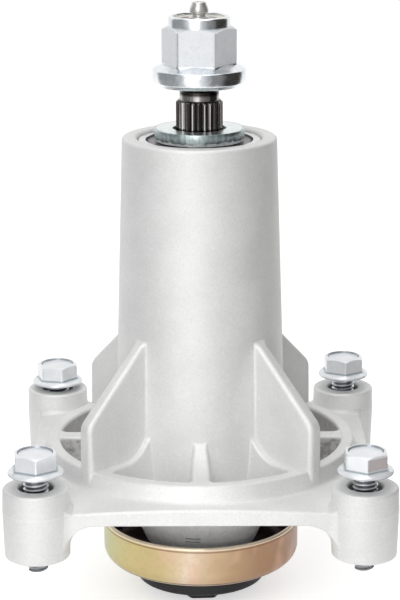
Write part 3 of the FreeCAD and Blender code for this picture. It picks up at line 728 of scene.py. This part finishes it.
def bright_zinc(place):
    """Bluish zinc plate with soft crystalline patches, fine scratches and pits."""
    patch = place.noise(420.0, 3.0)
    scratch = place.stretched(1.0, 1.0, 9.0).noise(900.0, 2.0)
    pit = place.noise(1900.0, 2.0).between(0.58, 0.75)
    base = patch.between(0.35, 0.65).mix((0.74, 0.78, 0.82), (0.88, 0.90, 0.91))
    return {
        "Base Color": (pit * 0.3).mix(base, (0.40, 0.43, 0.45)),
        "Metallic": 1.0,
        "Roughness": 0.16 + 0.14 * patch + 0.10 * pit,
        "Normal": (patch * 0.5 + scratch * 0.3 - pit * 0.3).bump(0.16, 0.0001),
    }


def nut_zinc(place):
    """Bright plate, duller on the flats of the hexagon, with painted shade along its corners."""
    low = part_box("pulley_nut")[0]
    dull = place.part(2).band(low.z + NUT_HEX_FOOT * MM, low.z + NUT_HEX_TOP * MM, SOFT)
    sockets = bright_zinc(place)
    flats = place.noise(300.0, 3.0).mix((0.72, 0.74, 0.77), (0.84, 0.86, 0.88))
    # Painted shade: dark lines along the corners of the hexagon.
    corner = dull * place.radius().between(*[r * MM for r in NUT_CORNER_R])
    flats = (place.noise(1100.0, 2.0).between(0.55, 0.72) * 0.3).mix(flats, (0.52, 0.55, 0.58))
    flats = (corner * 0.8).mix(flats, (0.14, 0.15, 0.15))
    sockets["Base Color"] = dull.mix(sockets["Base Color"], flats)
    sockets["Metallic"] = 1 - 0.85 * dull
    sockets["Roughness"] = sockets["Roughness"] + dull * 0.14
    return sockets


def bolt_zinc(place):
    """Satin bluish zinc on the bolts, with painted shade at the hexagon's foot, the flange's rim, the dish's
    wall and the thread's roots, and a painted rose reflection on one flat of the front right bolt."""
    from_axis, height = on_bolt(place)
    cloud = place.noise(240.0, 2.0)
    fine = place.noise(1600.0, 2.0)
    # Painted shade on the wall of the dish in each head.
    dish = from_axis.band((BOLT_DISH_R - BOLT_DISH_WALL) * MM, BOLT_DISH_R * MM, HAIR)
    # Painted shade where the hexagon meets the flange.
    foot = height.band(BOLT_FLANGE_RISE * MM, (BOLT_FLANGE_RISE + BOLT_HEX_FOOT) * MM, CRISP)
    # Painted shade along the lower edge of the flange.
    edge = height.band(*BOLT_RIM_Z, HAIR) * from_axis.between(*BOLT_RIM_R)
    shank = 1 - height.between(*BOLT_SHANK_TOP)
    side = bolt_offset * MM
    # Painted rose reflection on one flat of the front right bolt.
    flat = from_axis.between(*BOLT_FLAT_R) * height.band(*BOLT_FLAT_Z, CRISP)
    rose = flat * place.part(0).between(side, side + SOFT)
    rose = rose * (1 - (place.part(1) + side).between(*BOLT_ROSE_Y))
    # Painted shade in the roots of the thread.
    thread = shank * (1 - from_axis.between(BOLT_ROOT_R * MM, BOLT_THREAD_R * MM))
    base = cloud.between(0.3, 0.7).mix((0.88, 0.90, 0.93), (0.94, 0.96, 0.98))
    base = (dish * 0.75).mix(base, (0.22, 0.27, 0.31))
    base = (foot * 0.7).mix(base, (0.20, 0.29, 0.33))
    base = (edge * 0.6).mix(base, (0.24, 0.29, 0.32))
    base = (rose * 0.6).mix(base, (0.48, 0.36, 0.34))
    base = (thread * 0.8).mix(base, (0.10, 0.11, 0.12))
    return {
        "Base Color": base,
        "Metallic": 0.32 + 0.6 * shank,
        "Roughness": 0.18 + 0.08 * cloud + 0.06 * fine,
        "Normal": cloud.bump(0.10, 0.0001),
    }


def nipple_zinc(place):
    """Satin grey zinc of the grease nipple."""
    cloud = place.noise(500.0, 3.0)
    return {
        "Base Color": cloud.between(0.3, 0.7).mix((0.58, 0.57, 0.55), (0.74, 0.73, 0.72)),
        "Metallic": 0.75,
        "Roughness": 0.26 + 0.14 * cloud,
        "Normal": place.noise(1600.0, 2.0).bump(0.15, 0.0001, 0.0002),
    }


def sheared_zinc(place):
    """Greenish zinc on the blanked washer: darker on its side, and near white where its lower edge tore, a
    painted highlight on that rough band.
    """
    low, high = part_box("top_washer")
    edge = place.radius().between(*[high.x + inwards for inwards in WASHER_EDGE_R])
    ragged = place.part(2) + (place.noise(420.0, 3.0) - 0.5) * WASHER_RAGGED
    # The torn band is real; its near-white, less metallic look is a painted highlight.
    torn = edge * (1 - ragged.between(*[low.z + up for up in WASHER_TORN_Z]))
    streak = place.stretched(1.0, 1.0, 0.3).noise(700.0, 3.0)
    face = streak.between(0.3, 0.7).mix((0.74, 0.79, 0.79), (0.88, 0.92, 0.91))
    # Darker on the side than on the faces.
    side = streak.between(0.3, 0.7).mix((0.35, 0.42, 0.43), (0.60, 0.68, 0.68))
    base = edge.mix(face, side)
    return {
        "Base Color": torn.mix(base, (0.90, 0.94, 0.94)),
        "Metallic": 1 - 0.6 * torn,
        "Roughness": 0.22 + 0.16 * streak,
        "Normal": (streak * 0.5 + ragged * 300.0).bump(0.2, 0.0001),
    }


def black_steel(place):
    """Polished spline with painted reflection streaks on its lands and painted shade in its grooves and under
    the nut, plain turned shaft, and matt black below on the blade seat.
    """
    height = place.part(2)
    seat = 1 - height.between(*SEAT_TOP)
    teeth = height.between(*SPLINE_FOOT) * (1 - height.between(*SPLINE_TOP))
    # Painted shade in the spline's grooves.
    groove = teeth * (1 - place.radius().between(*SPLINE_GROOVE_R))
    streak = place.stretched(1.0, 1.0, 0.02).noise(560.0, 2.0)
    smear = place.stretched(1.0, 1.0, 0.15).noise(600.0, 3.0)
    steel = smear.between(0.3, 0.7).mix((0.30, 0.28, 0.27), (0.50, 0.48, 0.46))
    # Painted reflections: bright and dark streaks along the lands.
    land_reflections = streak.between(0.42, 0.60).mix((0.06, 0.055, 0.05), (0.62, 0.60, 0.59))
    steel = teeth.mix(steel, land_reflections)
    # Painted shade under the nut.
    steel = height.between(*UNDERCUT_TOP).mix(steel, (0.05, 0.045, 0.04))
    steel = groove.mix(steel, (0.030, 0.024, 0.020))
    steel = height.between(*SHAFT_END).mix(steel, (0.62, 0.60, 0.56))
    return {
        "Base Color": seat.mix(steel, (0.012, 0.012, 0.014)),
        "Metallic": 1 - 0.75 * seat,
        "Roughness": 0.13 + 0.10 * smear + 0.32 * seat,
        "Normal": place.noise(1500.0, 2.0).bump(0.15, 0.00005, 0.0002),
    }


def yellow_zinc(place):
    """Yellow passivated zinc: green and gold on one side, tan on the other and rose stains, with a painted
    highlight down the middle and painted shade on the tan side; a pale rim that is a painted highlight, a
    painted dark band under it and painted shade inside.
    """
    low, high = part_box("dust_cup")
    drift = place.stretched(1.0, 1.0, 1.6).noise(38.0, 2.5, 0.6)
    across = place.part(0).between(low.x, high.x, "LINEAR")
    # The colour's drift across the cup is real; the pale stop near the middle is a painted highlight and the
    # darkening towards the tan side is painted shade.
    film_and_painted_light = (across + (drift - 0.5) * 0.24).ramp([
        (0.02, (0.47, 0.47, 0.24)),
        (0.15, (0.57, 0.47, 0.22)),
        (0.28, (0.56, 0.44, 0.22)),
        (0.36, (0.60, 0.48, 0.30)),
        (0.43, (0.69, 0.56, 0.43)),
        (0.50, (0.60, 0.45, 0.31)),
        (0.58, (0.51, 0.37, 0.23)),
        (0.66, (0.43, 0.29, 0.17)),
        (0.76, (0.35, 0.215, 0.13)),
        (0.88, (0.33, 0.195, 0.12)),
        (0.98, (0.30, 0.19, 0.13)),
    ])
    rose = place.stretched(1.0, 1.0, 0.7).noise(90.0, 2.0).between(0.52, 0.68)
    green = place.stretched(1.0, 1.0, 0.6).noise(64.0, 2.0).between(0.54, 0.70)
    film_and_painted_light = (rose * 0.3).mix(film_and_painted_light, (0.72, 0.44, 0.34))
    film_and_painted_light = (green * 0.25).mix(film_and_painted_light, (0.44, 0.46, 0.20))
    fine = place.noise(700.0, 3.0)
    height = place.part(2)
    # Painted highlight on the rim.
    rim = height.between(*[high.z + up for up in CUP_RIM_Z])
    # Painted shade in a thin band under the rim.
    painted_line = height.band(*[high.z + up for up in CUP_LINE_Z], HAIR)
    wall = place.radius().between(*[high.x + inwards for inwards in CUP_WALL_R])
    # Painted shade inside the cup.
    inside = (1 - wall) * height.between(*CUP_FLOOR)
    base = (fine.between(0.45, 0.75) * 0.2).mix(film_and_painted_light, (0.40, 0.28, 0.20))
    base = (rim * 0.8).mix(base, (0.88, 0.76, 0.60))
    base = (painted_line * 0.6).mix(base, (0.20, 0.10, 0.06))
    return {
        "Base Color": inside.mix(base, (0.060, 0.040, 0.042)),
        "Metallic": 0.9,
        "Roughness": 0.26 + 0.16 * fine,
        "Normal": (fine * 0.5 + place.noise(180.0, 2.0) * 0.5).bump(0.12, 0.0001, 0.0003),
    }


def ground_steel(place):
    """Bearing steel with fine rings from grinding."""
    rings = place.stretched(1.0, 1.0, 12.0).noise(500.0, 2.0)
    return {
        "Base Color": rings.between(0.3, 0.7).mix((0.62, 0.62, 0.62), (0.78, 0.78, 0.78)),
        "Metallic": 1.0,
        "Roughness": 0.20 + 0.12 * rings,
        "Normal": rings.bump(0.1, 0.00005, 0.0002),
    }


def ball_steel(place):
    """Polished balls."""
    haze = place.noise(800.0, 2.0)
    return {
        "Base Color": haze.mix((0.74, 0.74, 0.75), (0.84, 0.84, 0.85)),
        "Metallic": 1.0,
        "Roughness": 0.05 + 0.06 * haze,
    }


def cage_nylon(place):
    """Tan nylon of the bearing cages."""
    cloud = place.noise(400.0, 3.0)
    return {
        "Base Color": cloud.mix((0.50, 0.40, 0.25), (0.66, 0.56, 0.38)),
        "Roughness": 0.42 + 0.15 * cloud,
        "Normal": place.noise(2400.0, 2.0).bump(0.2, 0.00005, 0.0002),
    }


def insert_nylon(place):
    """Cream nylon of the locking insert."""
    cloud = place.noise(400.0, 3.0)
    return {
        "Base Color": cloud.mix((0.80, 0.76, 0.66), (0.90, 0.87, 0.78)),
        "Roughness": 0.38 + 0.15 * cloud,
        "Normal": place.noise(2400.0, 2.0).bump(0.2, 0.00005, 0.0002),
    }


def seal_rubber(place):
    """Dark moulded rubber, bloomed violet grey and lightened by painted sheen, black with painted shade in
    its rim's groove and in the washer's shade.
    """
    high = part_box("upper_bearing_seal")[1]
    bloom_and_sheen = place.noise(500.0, 4.0)
    # Painted shade: black in the groove at the rim of the seal.
    groove = place.radius().between(*[high.x + inwards for inwards in SEAL_GROOVE_R])
    shade = 1 - place.part(1).between(*SEAL_SHADE_Y)
    # Violet grey, partly bloom and partly painted sheen.
    grey_violet = bloom_and_sheen.between(0.35, 0.7).mix((0.10, 0.088, 0.10), (0.24, 0.22, 0.24))
    return {
        "Base Color": groove.maths("MAXIMUM", groove, shade).mix(grey_violet, (0.004, 0.004, 0.005)),
        "Roughness": 0.20 + 0.2 * bloom_and_sheen + 0.3 * groove,
        "Normal": place.noise(2600.0, 2.0).bump(0.25, 0.00005),
    }


FINISHES = {
    "cast_aluminium": cast_aluminium,
    "zinc_steel": bright_zinc,
    "black_steel": black_steel,
    "bearing_steel": ground_steel,
    "ball_steel": ball_steel,
    "cage_nylon": cage_nylon,
    "insert_nylon": insert_nylon,
    "seal_rubber": seal_rubber,
    "yellow_zinc": yellow_zinc,
}


def dress_nodes():
    """Gives every CAD node the finish of its slot in the record."""
    for row in frame["record"]["subparts"]:
        node = frame["nodes"][row["node"]]
        node.data.materials.clear()
        node.data.materials.append(finishes[row["material_slot"]])


def seen_by(tree, *rays):
    """Share that is 1 for rays of the named kinds and 0 for all others."""
    path = tree.nodes.new("ShaderNodeLightPath")
    first, *others = [Wire(tree, path.outputs[ray]) for ray in rays]
    for other in others:
        first = first.maths("MAXIMUM", first, other)
    return first


def grey(level):
    return (level, level, level)


def world():
    """Soft light from all round, white to the eye and to mirrors."""
    sky = bpy.data.worlds.new("studio")
    sky.use_nodes = True
    tree = sky.node_tree
    background = tree.nodes["Background"]
    seen = seen_by(tree, *EYE_RAYS)
    feed(tree, background.inputs["Color"], seen.mix(grey(WORLD_LIGHT), grey(1.0)))
    bpy.context.scene.world = sky


def floor():
    """Pale floor under the part; it is lifted to white for the eye and keeps the shadow."""
    bm = bmesh.new()
    bmesh.ops.create_grid(bm, x_segments=1, y_segments=1, size=FLOOR_SIZE / 2)
    mesh = bpy.data.meshes.new("floor")
    bm.to_mesh(mesh)
    bm.free()
    made = bpy.data.objects.new("floor", mesh)
    made.location.z = cad_box[0][2]
    bpy.context.scene.collection.objects.link(made)
    material = bpy.data.materials.new("floor_paper")
    material.use_nodes = True
    tree = material.node_tree
    shader = tree.nodes["Principled BSDF"]
    shader.inputs["Base Color"].default_value = (*grey(FLOOR_GREY), 1)
    shader.inputs["Roughness"].default_value = FLOOR_ROUGHNESS
    shader.inputs["Specular IOR Level"].default_value = 0.0
    seen = seen_by(tree, *EYE_RAYS)
    feed(tree, shader.inputs["Emission Color"], seen.mix(grey(0.0), grey(FLOOR_LIFT)))
    shader.inputs["Emission Strength"].default_value = 1.0
    mesh.materials.append(material)


def lamp(name, place, aim, size, power):
    """Soft box."""
    light = bpy.data.lights.new(name, "AREA")
    light.shape = "RECTANGLE"
    light.size, light.size_y = size
    light.energy = power
    made = bpy.data.objects.new(name, light)
    made.location = place
    made.rotation_euler = (Vector(aim) - Vector(place)).to_track_quat("-Z", "Y").to_euler()
    bpy.context.scene.collection.objects.link(made)


def nose_spot():
    """Soft pool of light under the flange, on the nose."""
    light = bpy.data.lights.new("nose_spot", "SPOT")
    reach = Vector(SPOT_AIM) - Vector(SPOT_PLACE)
    light.spot_size = 2 * math.atan(SPOT_RADIUS / reach.length)
    light.spot_blend = SPOT_BLEND
    light.shadow_soft_size = SPOT_SOFTNESS
    light.energy = SPOT_POWER
    made = bpy.data.objects.new("nose_spot", light)
    made.location = SPOT_PLACE
    made.rotation_euler = reach.to_track_quat("-Z", "Y").to_euler()
    bpy.context.scene.collection.objects.link(made)


def card(name, from_deg, to_deg, colour):
    """Studio card that only mirrors see, standing on the floor."""
    bm = bmesh.new()
    floor_z = cad_box[0][2]
    foot = []
    for bearing in (math.radians(from_deg), math.radians(to_deg)):
        x, y = CARD_DISTANCE * math.sin(bearing), -CARD_DISTANCE * math.cos(bearing)
        foot.append(bm.verts.new((x, y, floor_z)))
    rise = bmesh.ops.extrude_edge_only(bm, edges=[bm.edges.new(foot)])["geom"]
    bmesh.ops.translate(bm, verts=[part for part in rise if isinstance(part, bmesh.types.BMVert)],
                        vec=(0, 0, CARD_HEIGHT))
    mesh = bpy.data.meshes.new(name)
    bm.to_mesh(mesh)
    bm.free()
    made = bpy.data.objects.new(name, mesh)
    bpy.context.scene.collection.objects.link(made)
    made.visible_camera = False
    made.visible_diffuse = False
    made.visible_shadow = False
    material = bpy.data.materials.new(name + "_cloth")
    material.use_nodes = True
    shader = material.node_tree.nodes["Principled BSDF"]
    shader.inputs["Base Color"].default_value = (0, 0, 0, 1)
    shader.inputs["Specular IOR Level"].default_value = 0.0
    shader.inputs["Emission Color"].default_value = (*colour, 1)
    shader.inputs["Emission Strength"].default_value = 1.0
    mesh.materials.append(material)


def camera():
    """Camera of the photograph."""
    lens = bpy.data.cameras.new("camera")
    lens.sensor_fit = "VERTICAL"
    lens.sensor_height = SENSOR_HEIGHT
    lens.lens = FOCAL_PIXELS / PICTURE_HEIGHT * SENSOR_HEIGHT
    made = bpy.data.objects.new("camera", lens)
    rise = math.radians(CAMERA_RISE_DEG)
    aim = Vector((0, 0, AIM_HEIGHT * MM))
    made.location = aim + Vector((0, -math.cos(rise), math.sin(rise))) * CAMERA_DISTANCE * MM
    level = (aim - made.location).to_track_quat("-Z", "Y").to_matrix().to_4x4()
    roll = Matrix.Rotation(math.radians(CAMERA_ROLL_DEG), 4, "Z")
    made.rotation_euler = (level @ roll).to_euler()
    bpy.context.scene.collection.objects.link(made)
    bpy.context.scene.camera = made


def inner_radius(node):
    """Smallest distance of a node's mesh from the spin axis, in millimetres."""
    return min(vert.co.xy.length for vert in frame["nodes"][node].data.vertices) / MM


def named(rows, name):
    """The row of that name in a list of the record."""
    return next(row for row in rows if row["name"] == name)


journal_r = inner_radius("top_washer")
seal_inner_r = inner_radius("upper_bearing_seal")
undersides = bolt_undersides()
bolt_offset = named(frame["record"]["mounts"], "deck_bolts")["dims"]["spacing_x_mm"] / 2
finishes = {slot: finish(slot, paint) for slot, paint in FINISHES.items()}
dress_nodes()

rubber, steel = finishes["seal_rubber"], finishes["bearing_steel"]
bolt_plate = finish("bolt_zinc", bolt_zinc)
nut_plate = finish("nut_zinc", nut_zinc)
washer_plate = finish("washer_zinc", sheared_zinc)
nipple_plate = finish("nipple_zinc", nipple_zinc)
piece("hex_washer_bolts", mounting_bolts(), "housing", "mounting_bolts", bolt_plate)
piece("flange_nut", pulley_nut(), "spindle", "pulley_nut", nut_plate)
piece("blanked_washer", top_washer(), "spindle", "top_washer", washer_plate)
for name, node, outwards in SEALS:
    piece(name, bearing_seal(node, outwards), "housing", node, rubber)
piece("grease_nipple", grease_fitting(), "spindle", "grease_fitting", nipple_plate)
spring = piece("check_spring", check_spring(), "spindle", "grease_spring", steel)

# Share of the spring's length that is left when the check ball is pressed in all the way; the spring gets a
# mesh of its own
spring_low, spring_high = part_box("grease_spring")
press = max(named(frame["joints"], "check_ball_press")["range_m"])
keep = 1 - press / (spring_high.z - spring_low.z)
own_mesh(spring)

world()
floor()
for name, values in CARDS.items():
    card(name, *values)
for name, values in LAMPS.items():
    lamp(name, *values)
nose_spot()
camera()

bpy.context.scene.view_settings.view_transform = "Standard"
